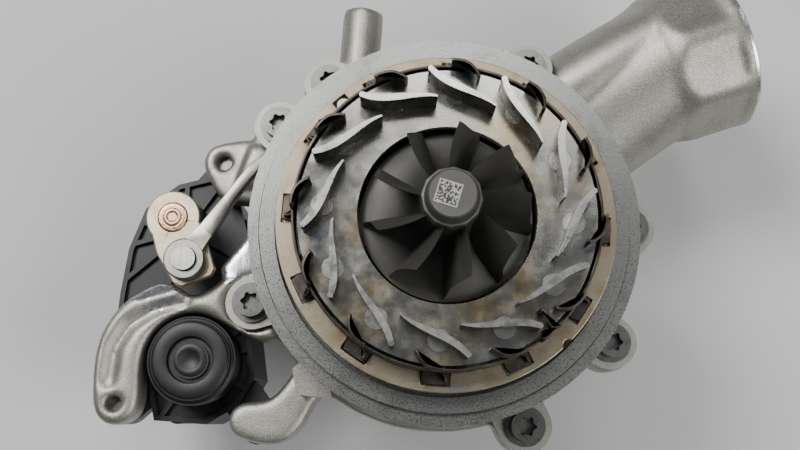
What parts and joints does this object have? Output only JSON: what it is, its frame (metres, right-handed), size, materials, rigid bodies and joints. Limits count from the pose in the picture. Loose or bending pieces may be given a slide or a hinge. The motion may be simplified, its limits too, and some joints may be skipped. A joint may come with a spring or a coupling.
{
  "type": "variable-geometry turbocharger",
  "caption": "Exhaust-driven supercharger with its turbine housing off: vaned nozzle ring, turbine wheel, cast compressor housing and a geared electric actuator with lever and link.",
  "frame": {"origin": "centre of the compressor inlet collar's end face", "axes": "+Z along the rotor from the compressor to the turbine; +Y along the pressure port, away from the rotor; +X to the side of the outlet"},
  "size_m": [0.2087, 0.1688, 0.1544],
  "materials": {
    "cast_aluminium": "sand-cast, fine sparkle",
    "seal_rubber": "matt",
    "bolt_steel": "phosphated",
    "machined_iron": "face-turned, speckled",
    "heat_tinted_steel": "straw heat tint",
    "bronze": "turned",
    "ground_steel": "ground",
    "wheel_alloy": "blasted, matt",
    "milled_aluminium": "milled",
    "nozzle_steel": "satin with faint heat tint",
    "dark_steel": "burnt dark",
    "link_steel": "satin",
    "tan_steel": "tan heat tint",
    "gear_plastic": "moulded",
    "black_plastic": "glass-filled, satin"
  },
  "bodies": {
    "housing": {"compressor_housing": "cast_aluminium", "compressor_backplate": "cast_aluminium", "backplate_seal": "seal_rubber", "outlet_seal": "seal_rubber", "housing_bolts": "bolt_steel", "bearing_housing": "machined_iron", "bearing_housing_screws": "bolt_steel", "heat_shield": "heat_tinted_steel", "journal_bearing": "bronze", "bearing_pin": "bolt_steel", "thrust_bearing": "bronze", "piston_rings": "ground_steel", "nozzle_plate": "nozzle_steel", "ring_guide_pins": "ground_steel", "guide_band": "dark_steel", "vtg_bush": "bronze", "motor_can": "bolt_steel", "actuator_housing": "black_plastic", "actuator_cover": "black_plastic", "cover_screws": "bolt_steel", "actuator_screws": "bolt_steel"},
    "rotor": {"turbine_wheel": "wheel_alloy", "rotor_shaft": "ground_steel", "thrust_collar": "ground_steel", "compressor_wheel": "milled_aluminium", "compressor_nut": "ground_steel"},
    "actuator_arm": {"actuator_shaft": "ground_steel", "actuator_lever": "tan_steel", "sector_gear": "gear_plastic", "link_pin": "ground_steel"},
    "link": {"link_rod": "link_steel"},
    "vtg_arm": {"vtg_lever": "ground_steel", "vtg_inner_lever": "ground_steel"},
    "adjusting_ring": {"unison_ring": "heat_tinted_steel"},
    "idler": {"intermediate_gear": "gear_plastic"},
    "motor": {"motor_rotor": "ground_steel"},
    "vane_arm_01": {"vane_01": "nozzle_steel", "vane_lever_01": "dark_steel"},
    "vane_arm_02": {"vane_02": "nozzle_steel", "vane_lever_02": "dark_steel"},
    "vane_arm_03": {"vane_03": "nozzle_steel", "vane_lever_03": "dark_steel"},
    "vane_arm_04": {"vane_04": "nozzle_steel", "vane_lever_04": "dark_steel"},
    "vane_arm_05": {"vane_05": "nozzle_steel", "vane_lever_05": "dark_steel"},
    "vane_arm_06": {"vane_06": "nozzle_steel", "vane_lever_06": "dark_steel"},
    "vane_arm_07": {"vane_07": "nozzle_steel", "vane_lever_07": "dark_steel"},
    "vane_arm_08": {"vane_08": "nozzle_steel", "vane_lever_08": "dark_steel"},
    "vane_arm_09": {"vane_09": "nozzle_steel", "vane_lever_09": "dark_steel"},
    "vane_arm_10": {"vane_10": "nozzle_steel", "vane_lever_10": "dark_steel"},
    "vane_arm_11": {"vane_11": "nozzle_steel", "vane_lever_11": "dark_steel"},
    "vane_arm_12": {"vane_12": "nozzle_steel", "vane_lever_12": "dark_steel"}
  },
  "joints": [
    {"name": "rotor_spin", "type": "hinge", "parent": "housing", "child": "rotor", "pos_m": [0, 0, 0.095], "axis": [0, 0, 1], "continuous": true},
    {"name": "actuator_turn", "type": "hinge", "parent": "housing", "child": "actuator_arm", "pos_m": [-0.0838, 0.0029, 0.06], "axis": [0, 0, 1], "range_deg": [-15, 22.5]},
    {"name": "link_swing", "type": "hinge", "parent": "actuator_arm", "child": "link", "pos_m": [-0.0782, -0.0103, 0.081], "axis": [0, 0, 1], "range_deg": [-19.23, 12.82]},
    {"name": "vtg_turn", "type": "hinge", "parent": "housing", "child": "vtg_arm", "pos_m": [-0.0198, 0.0198, 0.103], "axis": [0, 0, 1], "range_deg": [-11.93, 7.96]},
    {"name": "ring_turn", "type": "hinge", "parent": "housing", "child": "adjusting_ring", "pos_m": [0, 0, 0.1198], "axis": [0, 0, 1], "range_deg": [-4.16, 2.77]},
    {"name": "idler_spin", "type": "hinge", "parent": "housing", "child": "idler", "pos_m": [-0.08181, -0.02252, 0.038], "axis": [0, 0, 1], "range_deg": [-107.1, 71.4]},
    {"name": "motor_spin", "type": "hinge", "parent": "housing", "child": "motor", "pos_m": [-0.0745, -0.0406, 0.05], "axis": [0, 0, 1], "range_deg": [-299.88, 449.82]},
    {"name": "vane_turn_01", "type": "hinge", "parent": "housing", "child": "vane_arm_01", "pos_m": [0, 0.0332, 0.129], "axis": [0, 0, 1], "range_deg": [-18.27, 12.18]},
    {"name": "vane_turn_02", "type": "hinge", "parent": "housing", "child": "vane_arm_02", "pos_m": [0.0166, 0.02875, 0.129], "axis": [0, 0, 1], "range_deg": [-18.27, 12.18]},
    {"name": "vane_turn_03", "type": "hinge", "parent": "housing", "child": "vane_arm_03", "pos_m": [0.02875, 0.0166, 0.129], "axis": [0, 0, 1], "range_deg": [-18.27, 12.18]},
    {"name": "vane_turn_04", "type": "hinge", "parent": "housing", "child": "vane_arm_04", "pos_m": [0.0332, 0, 0.129], "axis": [0, 0, 1], "range_deg": [-18.27, 12.18]},
    {"name": "vane_turn_05", "type": "hinge", "parent": "housing", "child": "vane_arm_05", "pos_m": [0.02875, -0.0166, 0.129], "axis": [0, 0, 1], "range_deg": [-18.27, 12.18]},
    {"name": "vane_turn_06", "type": "hinge", "parent": "housing", "child": "vane_arm_06", "pos_m": [0.0166, -0.02875, 0.129], "axis": [0, 0, 1], "range_deg": [-18.27, 12.18]},
    {"name": "vane_turn_07", "type": "hinge", "parent": "housing", "child": "vane_arm_07", "pos_m": [0, -0.0332, 0.129], "axis": [0, 0, 1], "range_deg": [-18.27, 12.18]},
    {"name": "vane_turn_08", "type": "hinge", "parent": "housing", "child": "vane_arm_08", "pos_m": [-0.0166, -0.02875, 0.129], "axis": [0, 0, 1], "range_deg": [-18.27, 12.18]},
    {"name": "vane_turn_09", "type": "hinge", "parent": "housing", "child": "vane_arm_09", "pos_m": [-0.02875, -0.0166, 0.129], "axis": [0, 0, 1], "range_deg": [-18.27, 12.18]},
    {"name": "vane_turn_10", "type": "hinge", "parent": "housing", "child": "vane_arm_10", "pos_m": [-0.0332, 0, 0.129], "axis": [0, 0, 1], "range_deg": [-18.27, 12.18]},
    {"name": "vane_turn_11", "type": "hinge", "parent": "housing", "child": "vane_arm_11", "pos_m": [-0.02875, 0.0166, 0.129], "axis": [0, 0, 1], "range_deg": [-18.27, 12.18]},
    {"name": "vane_turn_12", "type": "hinge", "parent": "housing", "child": "vane_arm_12", "pos_m": [-0.0166, 0.02875, 0.129], "axis": [0, 0, 1], "range_deg": [-18.27, 12.18]}
  ],
  "couplings": [
    {"joint": "link_swing", "follows": "actuator_turn", "ratio": -0.838},
    {"joint": "vtg_turn", "follows": "actuator_turn", "ratio": -0.52},
    {"joint": "ring_turn", "follows": "actuator_turn", "ratio": -0.1814},
    {"joint": "idler_spin", "follows": "actuator_turn", "ratio": -4.6667},
    {"joint": "motor_spin", "follows": "actuator_turn", "ratio": 19.6},
    {"joint": "vane_turn_01", "follows": "actuator_turn", "ratio": -0.79592},
    {"joint": "vane_turn_02", "follows": "actuator_turn", "ratio": -0.79592},
    {"joint": "vane_turn_03", "follows": "actuator_turn", "ratio": -0.79592},
    {"joint": "vane_turn_04", "follows": "actuator_turn", "ratio": -0.79592},
    {"joint": "vane_turn_05", "follows": "actuator_turn", "ratio": -0.79592},
    {"joint": "vane_turn_06", "follows": "actuator_turn", "ratio": -0.79592},
    {"joint": "vane_turn_07", "follows": "actuator_turn", "ratio": -0.79592},
    {"joint": "vane_turn_08", "follows": "actuator_turn", "ratio": -0.79592},
    {"joint": "vane_turn_09", "follows": "actuator_turn", "ratio": -0.79592},
    {"joint": "vane_turn_10", "follows": "actuator_turn", "ratio": -0.79592},
    {"joint": "vane_turn_11", "follows": "actuator_turn", "ratio": -0.79592},
    {"joint": "vane_turn_12", "follows": "actuator_turn", "ratio": -0.79592}
  ]
}
